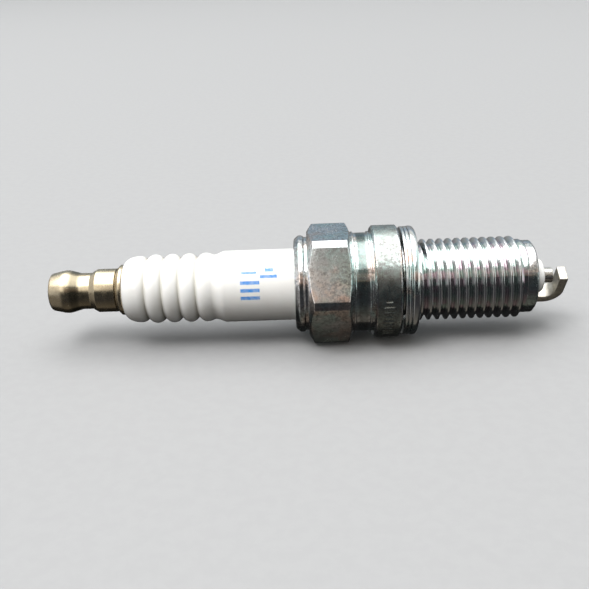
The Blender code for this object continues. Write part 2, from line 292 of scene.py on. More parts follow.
class Look(Nodes):
    """A Principled material, laid out in millimetres from the seat's centre."""

    def __init__(self, name):
        self.material = bpy.data.materials.new(name)
        self.material.use_nodes = True
        super().__init__(self.material.node_tree)
        self.shader = self.tree.nodes["Principled BSDF"]
        coords = self.add("ShaderNodeTexCoord")
        scale = self.add("ShaderNodeVectorMath", operation="SCALE")
        self.wire(coords.outputs["Object"], scale.inputs[0])
        scale.inputs["Scale"].default_value = 1 / MM
        self.place = scale.outputs[0]

    def set(self, **values):
        """Uniform values go straight on the shader's sockets."""
        for key, value in values.items():
            self.shader.inputs[key.replace("_", " ")].default_value = value

    def stretched(self, x, y, z):
        """Coordinates in millimetres, scaled along each axis."""
        node = self.add("ShaderNodeVectorMath", operation="MULTIPLY")
        self.wire(self.place, node.inputs[0])
        node.inputs[1].default_value = (x, y, z)
        return node.outputs[0]

    def split(self):
        node = self.add("ShaderNodeSeparateXYZ")
        self.wire(self.place, node.inputs[0])
        return node.outputs

    def radius(self):
        """Distance from the plug's axis."""
        _, y, z = self.split()
        return self.math("SQRT", self.math("ADD", self.math("POWER", y, 2.0), self.math("POWER", z, 2.0)))

    def patches(self, low, high, scale, detail, rough=0.55, to_low=0.0, to_high=1.0):
        """Soft-edged patches of noise, from to_low to to_high."""
        return self.ramp(self.noise(self.place, scale, detail, rough), low, high, to_low, to_high)

    def noise(self, vector, scale, detail=3.0, rough=0.55):
        node = self.add("ShaderNodeTexNoise")
        self.wire(vector, node.inputs["Vector"])
        for key, value in (("Scale", scale), ("Detail", detail), ("Roughness", rough)):
            node.inputs[key].default_value = value
        return node.outputs["Fac"]

    def bump(self, height, strength, distance):
        """Bumps add up: each one starts from the normal that the last one left."""
        node = self.add("ShaderNodeBump")
        node.inputs["Strength"].default_value = strength
        node.inputs["Distance"].default_value = distance * MM
        self.wire(height, node.inputs["Height"])
        normal = self.shader.inputs["Normal"]
        if normal.is_linked:
            self.wire(normal.links[0].from_socket, node.inputs["Normal"])
        self.wire(node.outputs[0], normal)

    def colour(self, socket):
        self.wire(socket, self.shader.inputs["Base Color"])

    def roughness(self, socket):
        self.wire(socket, self.shader.inputs["Roughness"])


# Where the finishes and the painted shade change, in millimetres: along the axis from the seat, up from
# it, and out from it.
COLLAR_FILM = (-3.55, -0.45)
# Along the axis, where painted shade darkens the groove between the hexagon and the collar.
GROOVE_SHADE_SPAN = (-6.1, -4.8)
# Along the axis, where a dark ring is painted on the bulb's neck: painted shade for a dark reflection.
DARK_REFLECTION_RING = (-47.5, -46.3)
RIBBED_PART = (-37.3, -25.6)
# Heights over which the groove's painted shade grows from part to full strength.
GROOVE_SHADE_HEIGHT = (2.3, 4.0)
# Radii over which painted shade fades out of the grooves between the ribs, toward the crests.
RIB_GROOVE_SHADE = (4.2, 4.9)

CLEAN_PLATE = (0.86, 0.87, 0.88)
GREENISH_PLATE = (0.66, 0.80, 0.78)
WARM_PLATE = (0.88, 0.76, 0.70)
DULL_PLATE = (0.24, 0.235, 0.225)
COLLAR_PLATE = (0.36, 0.43, 0.40)
# Colours of the painted shade on the groove, darkest on its upper side.
DEEP_GROOVE_SHADE = (0.09, 0.14, 0.13)
LIGHT_GROOVE_SHADE = (0.22, 0.29, 0.27)
THREAD_PLATE = ((0.88, 0.88, 0.89), (0.78, 0.82, 0.81))
# The thread roots' colours: a tinted film, darkened as painted shade.
THREAD_FILM_AND_SHADE = ((0.57, 0.45, 0.51), (0.43, 0.54, 0.50))
BRONZE = ((0.62, 0.53, 0.38), (0.50, 0.42, 0.29))
BRONZE_SPOT = (0.34, 0.27, 0.19)
# Colour of the painted dark reflection ring on the bulb.
BRONZE_PAINTED_REFLECTION = (0.21, 0.185, 0.13)
ROD_NICKEL = (0.74, 0.71, 0.65)
STRAP_NICKEL = (0.80, 0.76, 0.68)
GLAZE = ((0.90, 0.895, 0.87), (0.86, 0.85, 0.82))
GLAZE_SPECK = (0.6, 0.57, 0.52)
# Colour of the painted shade in the grooves between the ribs.
GLAZE_GROOVE_SHADE = (0.50, 0.475, 0.40)
BLUE_INK = (0.04, 0.27, 0.74)


def scratch_mask(look, turn, scale, thin, share):
    """Thin straight scratches along one direction, kept to patches."""
    rotate = look.add("ShaderNodeMapping")
    look.wire(look.place, rotate.inputs["Vector"])
    rotate.inputs["Rotation"].default_value = turn
    rotate.inputs["Scale"].default_value = (scale, scale * 0.04, scale)
    lines = look.noise(rotate.outputs[0], 1.0, detail=2.0, rough=0.5)
    away = look.math("ABSOLUTE", look.math("SUBTRACT", lines, 0.5))
    line = look.ramp(away, 0.0, thin, 1.0, 0.0)
    return look.times(line, look.patches(share, share + 0.08, 0.35, 2.0))


def plated_steel(name, grain=1.0):
    """Bright plating with a faint film of colour, fine grain and scratches.
    The collar is duller, and the groove is darkened with painted shade, in part all round and in full on
    its upper side."""
    look = Look(name)
    look.set(Metallic=1.0)
    cool = look.mix(look.patches(0.42, 0.6, 0.22, 3.0), CLEAN_PLATE, GREENISH_PLATE)
    cloud = look.noise(look.stretched(0.33, 0.3, 0.27), 1.0, detail=4.0)
    film_and_shade = look.mix(look.ramp(cloud, 0.5, 0.66), cool, WARM_PLATE)
    x, _, z = look.split()
    # Painted shade on the groove: part strength all round, full strength on its upper side.
    groove_shade_mask = look.times(look.band(x, *GROOVE_SHADE_SPAN, 0.2), look.ramp(z, *GROOVE_SHADE_HEIGHT, 0.45, 1.0))
    groove_shade_colour = look.mix(look.patches(0.42, 0.58, 0.55, 3.0), DEEP_GROOVE_SHADE, LIGHT_GROOVE_SHADE)
    film_and_shade = look.mix(look.times(groove_shade_mask, 0.95), film_and_shade, groove_shade_colour)
    collar = look.band(x, *COLLAR_FILM, 0.08)
    film_and_shade = look.mix(look.times(collar, 0.85), film_and_shade, COLLAR_PLATE)
    speck = look.patches(0.44, 0.58, 2.3, 6.0, 0.85)
    blotch = look.patches(0.35, 0.65, 0.6, 4.0, 0.6, 0.55, 1.0)
    depth = look.math("MULTIPLY_ADD", collar, 0.4, 0.85 * grain)
    look.colour(look.mix(look.times(look.times(speck, blotch), depth, clamp=True), film_and_shade, DULL_PLATE))
    scratches = look.math("ADD", scratch_mask(look, (0.3, 0.2, 0.5), 3.0, 0.006, 0.52),
                          scratch_mask(look, (1.1, 0.7, -0.6), 2.2, 0.005, 0.5), clamp=True)
    rough = look.patches(0.35, 0.7, 0.9, 4.0, 0.55, 0.08, 0.17)
    rough = look.math("ADD", rough, look.times(speck, 0.12 * grain))
    rough = look.math("ADD", rough, look.times(collar, 0.15))
    look.roughness(look.math("ADD", rough, look.times(scratches, 0.3), clamp=True))
    look.bump(look.noise(look.stretched(9.0, 0.25, 0.25), 1.0, detail=3.0), 0.025, 0.01)
    look.bump(look.noise(look.place, 3.5, detail=3.0, rough=0.6), 0.035 * grain, 0.01)
    look.bump(scratches, 0.15, 0.01)
    return look.material


def thread_steel(name):
    """The same plating in the thread, darker and tinted down in the roots: painted shade in the recesses,
    with a tint of film.
    """
    look = Look(name)
    look.set(Metallic=1.0)
    # Painted shade: the colour darkens toward the roots, by distance from the axis.
    root_shade = look.ramp(look.radius(), THREAD_ROOT, THREAD_CREST - 0.12, 1.0, 0.0)
    film_and_shade = look.mix(look.patches(0.44, 0.56, 0.7, 3.0), *THREAD_FILM_AND_SHADE)
    bright = look.mix(look.patches(0.4, 0.65, 0.5, 3.0), *THREAD_PLATE)
    look.colour(look.mix(look.times(root_shade, 0.8), bright, film_and_shade))
    fine = look.noise(look.place, 4.0, detail=4.0, rough=0.65)
    look.roughness(look.ramp(fine, 0.3, 0.7, 0.09, 0.2))
    look.bump(fine, 0.06, 0.01)
    return look.material


def bronze_nickel(name):
    """The terminal's bronze-toned plate: darker, smooth, lightly marked, with a dark ring painted round
    the bulb's neck as painted shade, standing for a dark reflection."""
    look = Look(name)
    look.set(Metallic=1.0)
    tone = look.mix(look.patches(0.38, 0.65, 0.45, 4.0), *BRONZE)
    tone = look.mix(look.times(look.patches(0.56, 0.7, 2.4, 6.0, 0.7), 0.3), tone, BRONZE_SPOT)
    # A dark ring painted round the bulb's neck: painted shade standing for a dark reflection.
    ring = look.band(look.split()[0], *DARK_REFLECTION_RING, 0.3)
    look.colour(look.mix(look.times(ring, 0.85), tone, BRONZE_PAINTED_REFLECTION))
    marks = scratch_mask(look, (0.2, 0.5, 0.9), 2.0, 0.006, 0.5)
    base = look.patches(0.3, 0.75, 1.5, 3.0, 0.55, 0.22, 0.3)
    look.roughness(look.math("ADD", base, look.times(marks, 0.2), clamp=True))
    look.bump(look.noise(look.stretched(6.0, 0.25, 0.25), 1.0, detail=3.0), 0.03, 0.01)
    look.bump(look.noise(look.place, 4.0, detail=4.0, rough=0.6), 0.01, 0.01)
    look.bump(marks, 0.15, 0.01)
    return look.material


def nickel_alloy(name, colour, satin):
    """Bare electrode alloy: satin, faintly drawn along its length."""
    look = Look(name)
    look.set(Metallic=1.0)
    darker = tuple(c * 0.68 for c in colour)
    look.colour(look.mix(look.patches(0.4, 0.68, 1.1, 5.0), colour, darker))
    fine = look.noise(look.stretched(1.0, 4.0, 4.0), 2.6, detail=5.0, rough=0.65)
    look.roughness(look.ramp(fine, 0.3, 0.7, satin, satin + 0.16))
    look.bump(fine, 0.06, 0.01)
    return look.material


def glazed_ceramic(name):
    """White glaze with a soft ripple, painted shade down in the grooves between the ribs, and a printed
    mark of plain blue bars."""
    look = Look(name)
    look.set(Specular_IOR_Level=0.5, Subsurface_Weight=0.06, Subsurface_Scale=0.5 * MM,
             Subsurface_Radius=(1.0, 0.85, 0.7))
    white = look.mix(look.patches(0.35, 0.7, 0.25, 4.0), *GLAZE)
    white = look.mix(look.times(look.patches(0.69, 0.76, 6.0, 3.0, 0.6), 0.2), white, GLAZE_SPECK)
    # Painted shade down in the grooves between the ribs, by distance from the axis.
    ribbed = look.band(look.split()[0], *RIBBED_PART, 0.3)
    rib_groove_shade = look.times(ribbed, look.ramp(look.radius(), *RIB_GROOVE_SHADE, 0.6, 0.0))
    look.colour(print_marks(look, look.mix(rib_groove_shade, white, GLAZE_GROOVE_SHADE)))
    look.roughness(look.patches(0.3, 0.7, 1.6, 4.0, 0.55, 0.06, 0.13))
    look.bump(look.noise(look.place, 0.6, detail=2.0), 0.06, 0.02)
    return look.material


# Plain bars printed on the barrel: start and end along the axis in millimetres, then start and end
# round it in degrees from straight up, positive toward the front.
PRINTED_BARS = [
    (-22.6, -19.9, 61, 66.5), (-22.6, -19.9, 73, 78.5), (-22.6, -19.9, 85, 90.5),
    (-22.4, -20.3, 46, 50), (-19.8, -17.4, 52, 57), (-19.1, -17.9, 41, 47),
]


def print_marks(look, ground):
    """Blue bars with soft, slightly broken edges."""
    x, y, z = look.split()
    angle = look.times(look.math("ARCTAN2", look.times(y, -1.0), z), 180 / math.pi)
    ragged = look.math("SUBTRACT", look.noise(look.place, 5.0, detail=4.0), 0.5)
    ragged = look.times(ragged, 0.22)
    along = look.math("ADD", x, ragged)
    round_it = look.math("ADD", angle, look.times(ragged, 8.0))
    ink = 0.0
    for start, end, low, high in PRINTED_BARS:
        inside = look.times(look.band(along, start, end, 0.06), look.band(round_it, low, high, 0.7))
        ink = look.math("MAXIMUM", ink, inside)
    density = look.patches(0.25, 0.75, 2.0, 5.0, 0.55, 0.7, 1.0)
    return look.mix(look.times(ink, density), ground, BLUE_INK)


def grainy(name, colour, second, scale, roughness, metallic, depth):
    """A matte or metallic piece with two-tone grain, for the inner parts."""
    look = Look(name)
    look.set(Metallic=metallic)
    grain = look.noise(look.place, scale, detail=6.0, rough=0.7)
    look.colour(look.mix(look.ramp(grain, 0.4, 0.65), colour, second))
    look.roughness(look.ramp(grain, 0.3, 0.7, roughness * 0.85, min(1.0, roughness * 1.15)))
    look.bump(grain, 0.4, depth)
    return look.material


def dress(obj, look):
    """Give an object one material."""
    obj.data.materials.clear()
    obj.data.materials.append(look)


def finish_piece(obj, look, body, slot, *nodes):
    """Material, body and the CAD nodes that the piece stands for. The slot is not used."""
    dress(obj, look)
    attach(obj, body)
    if nodes:
        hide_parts(*nodes)


# ------------------------------------------------------------------ pieces

def make_nut(look):
    """Bulb, neck, shoulder and skirt over a blind bore."""
    low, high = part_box("terminal_nut")
    end, mouth = (low.x - SEAT_X) / MM, (high.x - SEAT_X) / MM
    outline = rounded([
        (end, 0), (end, 2.68, 0.45), (-48.2, 3.21, 2.6), (-46.2, 2.64, 1.2), (-44.62, 2.64, 0.25),
        (-43.75, 3.16, 0.2), (mouth, 3.16, 0.1), (mouth, 2.32, 0.05), (mouth - 0.25, 2.08, 0.05),
        (-48.1, 2.08, 0.1), (-48.9, 0),
    ], steps=8)
    nut = turned("terminal_nut_detail", outline, 128)
    finish_piece(nut, look, "nut", "terminal", "terminal_nut")


def make_stud(look):
    """Flange and shank in one piece, with the M4 thread as a sleeve on it."""
    outline = rounded([
        (-47.9, 0), (-47.9, 1.25, 0.1), (-47.5, 1.56), (-41.3, 1.56, 0.1), (-41.2, 1.75, 0.05),
        (-40.8, 1.75, 0.05), (-40.8, 3.15, 0.08), (-40.3, 3.68, 0.2), (-39.8, 3.68, 0.1),
        (-39.8, 1.9), (-12.85, 1.9, 0.1), (-12.55, 1.6, 0.1), (-12.55, 0),
    ], steps=4)
    stud = turned("terminal_stud_detail", outline, 96)
    finish_piece(stud, look, "plug", "stud", "terminal_stud")
    thread = thread_sleeve("terminal_stud_thread", left=-47.6, right=-41.35, root=1.565, crest=1.98,
                           bore=1.3, pitch=0.7, phase=0.0, per_turn=64)
    finish_piece(thread, look, "plug", "stud")


# The ribs, the narrow grooves between them, and the shallow groove where they run out.
RIB_SPACING = 2.44
RIB_CREST = 5.03
FIRST_RIB_DROP = 0.18
FIRST_GROOVE = -36.4
FIRST_CREST = FIRST_GROOVE - RIB_SPACING / 2
GROOVE_DEPTH = 0.9
GROOVE_FLOOR = 0.08
GROOVE_COUNT = 4
RUN_OUT = FIRST_GROOVE + RIB_SPACING * GROOVE_COUNT
RUN_OUT_DEPTH = 0.6
RUN_OUT_FLOOR = 0.3
RUN_OUT_END = -24.9
# The rounded end: how far it falls, and how much of a full quarter turn it makes.
END_FALL = 1.3
END_SWEEP = 0.975


def insulator_radius(x, end):
    """Rounded end, domes between narrow grooves, then a shallow run-out."""
    if x < FIRST_CREST:
        slope = END_SWEEP * (FIRST_CREST - x) / (FIRST_CREST - end)
        return RIB_CREST - FIRST_RIB_DROP - END_FALL * (1 - math.sqrt(1 - slope ** 2))
    radius = RIB_CREST - FIRST_RIB_DROP * max(0.0, FIRST_GROOVE - x) / (RIB_SPACING / 2)
    for index in range(GROOVE_COUNT):
        radius -= groove_fall(x, FIRST_GROOVE + RIB_SPACING * index, GROOVE_DEPTH, GROOVE_FLOOR)
    if x <= RUN_OUT:
        return radius - groove_fall(x, RUN_OUT, RUN_OUT_DEPTH, RUN_OUT_FLOOR)
    bottom = RIB_CREST - groove_fall(RUN_OUT, RUN_OUT, RUN_OUT_DEPTH, RUN_OUT_FLOOR)
    climb = min(1.0, (x - RUN_OUT) / (RUN_OUT_END - RUN_OUT))
    return bottom + (BARREL_RADIUS - bottom) * math.sin(climb * math.pi / 2) ** 2


def make_insulator(look):
    """Rounded end, five ribs, barrel, flange inside the shell and nose."""
    low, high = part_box("insulator")
    end, tip = (low.x - SEAT_X) / MM, (high.x - SEAT_X) / MM
    outline = rounded([(end, 2.0), (end, insulator_radius(end, end) - 0.1, 0.1)], steps=5)
    steps = 280
    for step in range(steps + 1):
        # The steps are closer together at the rounded end, where the surface turns fastest.
        share = step / steps
        x = end + (RUN_OUT_END - end) * (share ** 1.25)
        outline.append((x, insulator_radius(x, end)))
    outline += rounded([
        (RUN_OUT_END, BARREL_RADIUS), (-8.0, BARREL_RADIUS, 0.3), (-7.2, 6.1, 0.3), (-2.0, 6.1, 0.3),
        (-0.6, 4.1, 0.3), (5.0, 4.1, 0.2), (5.6, 3.1, 0.2), (7.6, 2.95, 0.5), (REACH, 2.72, 2.0),
        (tip, 2.4, 0.5), (tip + 0.3, 1.7, 0.25), (tip + 0.3, 1.2, 0.05), (-0.45, 1.2), (-0.9, 2.0),
    ], steps=7)[1:]
    piece = turned("insulator_detail", outline, 192, closed=True)
    finish_piece(piece, look, "plug", "ceramic", "insulator")


# How softly the hexagon's flats run into its turned corners.
EDGE_SOFTNESS = 0.03


def hexagon_radius(angle):
    """Distance to the hexagon's surface, with its corners turned off. Flats
    face straight up and down."""
    from_flat = abs(angle % (math.pi / 3) - math.pi / 6)
    flat = ACROSS_FLATS / 2 / math.cos(from_flat)
    return (flat + CORNER_RADIUS - math.hypot(flat - CORNER_RADIUS, EDGE_SOFTNESS)) / 2


# The stamp on the collar: where it starts and ends round the axis, its middle along it, and its ticks.
STAMP_START = math.radians(176)
STAMP_END = math.radians(226)
STAMP_MIDDLE = -2.0
STAMP_MARKS = 9
TICK_DEPTH = 0.11
TICK_SLOPE = 0.17
LONG_TICK = 0.65
SHORT_TICK = 0.35


def shell_angles():
    """Even columns, with more where flats meet corners and at the stamp."""
    angles = [math.radians(1.25 * index) for index in range(288)]
    edge = math.acos(ACROSS_FLATS / 2 / CORNER_RADIUS)
    for corner in range(6):
        middle = math.radians(30 + 60 * corner)
        for side in (-edge, edge):
            for offset in (-1.0, -0.6, -0.3, 0.0, 0.3, 0.6, 1.0):
                angles.append(middle + side + math.radians(offset))
    stamp_step = math.radians(0.4)
    first = STAMP_START - stamp_step
    while first < STAMP_END + stamp_step:
        angles.append(first)
        first += stamp_step
    angles = sorted(angle % math.tau for angle in angles)
    closest = math.radians(0.12)
    kept = [angles[0]]
    for angle in angles[1:]:
        if angle - kept[-1] > closest:
            kept.append(angle)
    return kept


def stamp_depth(x, angle):
    """A plain row of long and short ticks pressed into the collar."""
    if not STAMP_START < angle < STAMP_END:
        return 0.0
    pitch = (STAMP_END - STAMP_START) / STAMP_MARKS
    index = int((angle - STAMP_START) / pitch)
    across = ((angle - STAMP_START) / pitch - index - 0.5) * pitch * ACROSS_FLATS / 2
    half_length = LONG_TICK if index % 3 else SHORT_TICK
    away = math.hypot(max(0.0, abs(x - STAMP_MIDDLE) - half_length), across)
    return TICK_DEPTH * max(0.0, 1 - away / TICK_SLOPE)


def shell_outline(angle):
    """The shell's closed outline at one angle about the axis."""
    hexagon = hexagon_radius(angle)
    beyond_flat = hexagon - ACROSS_FLATS / 2
    left = -12.85 + 0.58 * beyond_flat
    right = -7.12 - 0.38 * beyond_flat
    crimp = [
        (-14.05, 6.2), (-14.35, 5.5, 0.1), (-14.75, 5.36, 0.12), (-15.0, 5.75, 0.3), (-14.95, 6.5, 0.5),
        (-14.3, 7.06, 0.5), (-13.72, 7.0, 0.2), (-13.5, 6.78, 0.12), (-13.1, 6.78, 0.06),
    ]
    nut = [
        (-13.1, 7.5, 0.12), (left, hexagon, 0.16), (right, hexagon, 0.16), (-6.95, 7.5, 0.1),
        (-6.95, 7.2, 0.05),
    ]
    groove = [
        (-6.8, 7.14, 0.05), (-6.72, 7.36, 0.06), (-6.5, 7.36, 0.06), (-6.42, 7.16, 0.06),
        (-4.5, 7.16, 0.06), (-4.42, 7.34, 0.06), (-4.22, 7.34, 0.06), (-4.12, 7.16, 0.05),
        (-3.95, 7.16, 0.03), (-3.9, 7.85, 0.06), (-3.66, COLLAR_RADIUS, 0.12),
    ]
    outline = rounded(crimp + nut + groove, steps=4)
    rows = 34
    collar_left, collar_right = -3.55, -0.5
    for row in range(rows + 1):
        x = collar_left + (collar_right - collar_left) * row / rows
        outline.append((x, COLLAR_RADIUS - stamp_depth(x, angle)))
    outline += rounded([
        (collar_right, COLLAR_RADIUS), (-0.32, COLLAR_RADIUS, 0.12), (0, 7.7, 0.12), (0, THREAD_ROOT),
        (1.5, THREAD_ROOT, 0.03), (1.6, THREAD_ROOT - 0.1), (17.5, THREAD_ROOT - 0.1),
        (17.6, PILOT_RADIUS, 0.05), (FIRING_FACE - 0.28, PILOT_RADIUS, 0.12), (FIRING_FACE, 4.9, 0.06),
        (FIRING_FACE, 3.98, 0.06), (FIRING_FACE - 0.15, 3.95, 0.1), (7.7, 3.95, 0.1), (7.1, 3.35, 0.1),
        (5.95, 3.35, 0.05), (5.41, 4.25), (-0.4, 4.25, 0.1), (-1.8, 6.25, 0.1), (-14.0, 6.25),
    ], steps=4)[1:]
    return outline


def make_shell(look, thread_look):
    """The plated shell, with its thread as a sleeve over the shank."""
    angles = shell_angles()
    verts, faces = around(angles, [shell_outline(angle) for angle in angles], closed=True)
    shell = new_object("metal_shell_detail", verts, faces, sharp=40)
    finish_piece(shell, look, "plug", "plating", "metal_shell")
    thread = thread_sleeve("metal_shell_thread", left=1.5, right=18.5, root=THREAD_ROOT,
                           crest=THREAD_CREST, bore=4.9, pitch=THREAD_PITCH, phase=CREST_AT_ZERO,
                           per_turn=144, start_turn=THREAD_STARTS_AT)
    finish_piece(thread, thread_look, "plug", "plating")


def make_gasket(look):
    """Folded washer: two thin folds toward the seat, then one full fold. Its
    rim ripples a little, as pressed sheet does."""
    low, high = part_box("gasket")
    left, right = (low.x - SEAT_X) / MM, (high.x - SEAT_X) / MM
    outer = (high.z - low.z) / 2 / MM
    points = [
        (left, 5.8, 0.1), (left, outer - 0.06, 0.22), (left + 0.45, outer - 0.06, 0.22),
        (left + 0.47, outer - 0.4, 0.02), (left + 0.49, outer - 0.4, 0.02),
        (left + 0.51, outer - 0.06, 0.22), (left + 0.98, outer - 0.06, 0.22),
        (left + 1.0, outer - 0.42, 0.02), (left + 1.02, outer - 0.42, 0.02),
        (left + 1.04, outer + 0.02, 0.45), (right - 0.2, outer - 0.02, 0.7), (right, 7.1, 0.6),
        (right, 6.2, 0.4), (right - 0.4, 5.68, 0.3), (right - 0.9, 5.66, 0.1), (left + 0.1, 5.7, 0.08),
    ]
    outline = rounded(points, steps=7, closed=True)
    angles = even_angles(192)
    outlines = []
    for angle in angles:
        ripple = 0.008 * math.sin(3 * angle + 0.4) + 0.005 * math.sin(7 * angle + 1.1)
        outlines.append([(x, r + (ripple - 0.013) * max(0.0, r - 7.0)) for x, r in outline])
    verts, faces = around(angles, outlines, closed=True)
    piece = new_object("gasket_detail", verts, faces, sharp=40)
    finish_piece(piece, look, "washer", "gasket_steel", "gasket")


def make_centre_electrode(look):
    """The rod that shows past the nose, and its head inside."""
    tip = (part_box("centre_electrode")[1].x - SEAT_X) / MM
    outline = rounded([
        (18.1, 0), (18.1, 0.6), (-2.05, 0.6), (-2.05, 1.85, 0.1), (-1.05, 1.85, 0.1), (-0.6, 1.1, 0.1),
        (tip, 1.1, 0.13), (tip, 0),
    ], steps=6)
    piece = turned("centre_electrode_detail", outline, 96)
    finish_piece(piece, look, "plug", "nickel", "centre_electrode")


# The strap: its section, then its middle's distance from the axis at the root, the radius of its bend,
# how far its end goes past the axis, its rounded edges, and how far it is turned round the axis.
STRAP_WIDTH = 2.4
STRAP_THICKNESS = 1.25
STRAP_ROOT = 4.5
STRAP_BEND = 2.05
STRAP_PAST_AXIS = 0.45
STRAP_CORNER = 0.16
STRAP_ANGLE = math.radians(-59)
STRAIGHT_STEPS = 8
BEND_STEPS = 24
CORNER_STEPS = 5


def strap_section(shrink):
    """The strap's rounded outline, drawn in by shrink all round, as pairs of
    across the width and through the thickness."""
    width, thickness = STRAP_WIDTH - 2 * shrink, STRAP_THICKNESS - 2 * shrink
    corner = max(0.02, STRAP_CORNER - shrink)
    points = [
        (-width / 2, -thickness / 2, corner), (width / 2, -thickness / 2, corner),
        (width / 2, thickness / 2, corner), (-width / 2, thickness / 2, corner),
    ]
    return rounded(points, steps=CORNER_STEPS, closed=True)


def strap_stations():
    """Points along the strap's middle, root first, each with its turn."""
    middle = (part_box("ground_electrode")[1].x - SEAT_X) / MM - STRAP_THICKNESS / 2
    centre = Vector((middle - STRAP_BEND, STRAP_ROOT - STRAP_BEND))
    root = REACH + 0.05
    stations = []
    for step in range(STRAIGHT_STEPS + 1):
        along = root + (centre.x - root) * step / STRAIGHT_STEPS
        stations.append((Vector((along, STRAP_ROOT)), 0.0))
    for step in range(1, BEND_STEPS + 1):
        turn = math.pi / 2 * step / BEND_STEPS
        stations.append((centre + STRAP_BEND * Vector((math.sin(turn), math.cos(turn))), turn))
    for step in range(1, STRAIGHT_STEPS + 1):
        fall = (centre.y + STRAP_PAST_AXIS) * step / STRAIGHT_STEPS
        stations.append((Vector((middle, centre.y - fall)), math.pi / 2))
    return stations


def make_ground_electrode(look):
    """Flat strap, welded at its root and bent over the centre electrode. Its
    free end is rounded off."""
    spin = Matrix.Rotation(STRAP_ANGLE, 3, "X")
    stations = strap_stations()
    rings = []
    for index, (spot, turn) in enumerate(stations):
        along = Vector((math.cos(turn), -math.sin(turn)))
        outward = Vector((math.sin(turn), math.cos(turn)))
        layers = [(0.0, 0.0)]
        if index == len(stations) - 1:
            leans = [math.pi / 2 * step / CORNER_STEPS for step in range(CORNER_STEPS + 1)]
            layers = [(STRAP_CORNER * (math.sin(lean) - 1), STRAP_CORNER * (1 - math.cos(lean)))
                      for lean in leans]
        for slide, shrink in layers:
            place = spot + along * slide
            ring = []
            for across, through in strap_section(shrink):
                flat = place + outward * through
                ring.append(spin @ Vector((flat.x, flat.y, across)))
            rings.append(ring)
    verts = [point * MM for ring in rings for point in ring]
    count = len(rings[0])
    faces = []
    for here in range(0, len(verts) - count, count):
        for index in range(count):
            after = (index + 1) % count
            faces.append((here + index, here + after, here + count + after, here + count + index))
    faces.append(tuple(range(count)))
    faces.append(tuple(range(len(verts) - count, len(verts))))
    piece = new_object("ground_electrode_detail", verts, faces, sharp=60)
    finish_piece(piece, look, "plug", "nickel", "ground_electrode")


# The CAD pieces inside: colour, second colour, grain size, roughness, metallic and depth of the grain.
PACKING_STEEL = ("packing_steel", (0.5, 0.5, 0.51), (0.36, 0.35, 0.34), 3.0, 0.4, 1.0, 0.02)
COPPER_GLASS = ("copper_glass", (0.20, 0.12, 0.08), (0.36, 0.2, 0.12), 6.0, 0.35, 0.0, 0.03)
PRESSED_TALC = ("pressed_talc", (0.82, 0.81, 0.78), (0.7, 0.69, 0.65), 4.0, 0.9, 0.0, 0.06)
RESISTOR_MIX = ("resistor_mix", (0.05, 0.05, 0.055), (0.14, 0.13, 0.12), 5.0, 0.75, 0.0, 0.06)
CORE_COPPER = ("core_copper", (0.78, 0.42, 0.27), (0.6, 0.3, 0.18), 2.0, 0.3, 1.0, 0.02)


def dress_inner_nodes():
    """Materials for the CAD pieces that stay as they are."""
    steel, glass = grainy(*PACKING_STEEL), grainy(*COPPER_GLASS)
    looks = {
        "upper_packing_ring": steel,
        "lower_packing_ring": steel,
        "seat_packing": steel,
        "talc_filling": grainy(*PRESSED_TALC),
        "upper_glass_seal": glass,
        "lower_glass_seal": glass,
        "resistor": grainy(*RESISTOR_MIX),
        "electrode_copper_core": grainy(*CORE_COPPER),
    }
    for name, look in looks.items():
        dress(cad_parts[name], look)


# ------------------------------------------------------------------- stage

# In metres.
FLOOR_RADIUS = 3.0
WALL_RADIUS = 1.2
WALL_HEIGHT = 8 * WALL_RADIUS
WALL_STEPS = 16


def make_floor():
    """A plain pale floor that curves up, far from the plug, into its own
    backdrop. It is kept out of reflections, where the dim room stands for
    the dark table that gives bright metal its contrast."""
    outline = [(0.0, 0.0), (FLOOR_RADIUS, 0.0)]
    for step in range(1, WALL_STEPS + 1):
        turn = math.pi / 2 * step / WALL_STEPS
        outline.append((FLOOR_RADIUS + WALL_RADIUS * math.sin(turn), WALL_RADIUS * (1 - math.cos(turn))))
    outline.append((FLOOR_RADIUS + WALL_RADIUS, WALL_HEIGHT))
    verts, faces = [], []
    turns = even_angles(96)
    for turn in turns:
        verts += [(r * math.cos(turn), r * math.sin(turn), z) for r, z in outline]
    rows = len(outline)
    for column in range(len(turns)):
        here, there = column * rows, (column + 1) % len(turns) * rows
        for row in range(rows - 1):
            faces.append((here + row, there + row, there + row + 1, here + row + 1))
    floor = new_object("floor", verts, faces, sharp=180)
    floor.matrix_world = Matrix.Identity(4)
    floor.visible_glossy = False
    floor.visible_diffuse = False
    floor.visible_shadow = False
    look = Look("pale_floor")
    grain = look.noise(look.place, 0.6, detail=3.0)
    look.colour(look.mix(look.ramp(grain, 0.35, 0.65), (0.302, 0.302, 0.305), (0.294, 0.294, 0.297)))
    look.set(Roughness=0.7)
    dress(floor, look.material)


def make_light(name, location, size, radiance, glossy, diffuse):
    """A soft box that looks at the plug, set by how bright its face is. It
    shows in bright metal if glossy, and lights matte surfaces if diffuse."""
    data = bpy.data.lights.new(name, "AREA")
    data.shape = "RECTANGLE"
    data.size, data.size_y = size
    data.energy = radiance * math.pi * size[0] * size[1]
    light = bpy.data.objects.new(name, data)
    light.visible_glossy = glossy
    light.visible_diffuse = diffuse
    bpy.context.collection.objects.link(light)
    light.location = location
    light.rotation_euler = (-Vector(location)).to_track_quat("-Z", "Y").to_euler()


